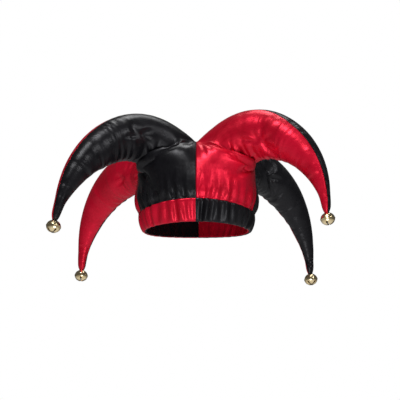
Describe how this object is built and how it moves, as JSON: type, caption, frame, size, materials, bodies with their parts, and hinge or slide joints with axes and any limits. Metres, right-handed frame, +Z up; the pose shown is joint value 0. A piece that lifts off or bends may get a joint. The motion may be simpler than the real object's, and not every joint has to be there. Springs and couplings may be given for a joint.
{
  "type": "jester hat",
  "caption": "Jester hat in black and red satin: a gathered band, a crown split in coloured panels and padded horns that arch out and down, each ending in a jingle bell.",
  "frame": {"origin": "centre of the head opening, level with the rim at the hat's sides, where a head carries the hat", "axes": "+Z up through the crown, +X to the viewer's right when the front is seen, +Y to the back of the hat"},
  "size_m": [0.4007, 0.3207, 0.2374],
  "materials": {
    "satin_black": "woven satin, soft sheen",
    "satin_red": "woven satin, soft sheen",
    "bell_gold": "bright plated",
    "pellet_steel": "plain"
  },
  "bodies": {
    "root": {"panel_front_left": "satin_black", "panel_front_right": "satin_red", "panel_back_left": "satin_black", "panel_back_right": "satin_red", "gusset_left": "satin_red", "gusset_right": "satin_black", "band_left": "satin_red", "band_right": "satin_black", "facing_left": "satin_black", "facing_right": "satin_red", "bell_front_left": "bell_gold", "bell_front_right": "bell_gold", "bell_back_left": "bell_gold", "bell_back_right": "bell_gold", "pellet_front_left": "pellet_steel", "pellet_front_right": "pellet_steel", "pellet_back_left": "pellet_steel", "pellet_back_right": "pellet_steel"}
  },
  "joints": []
}
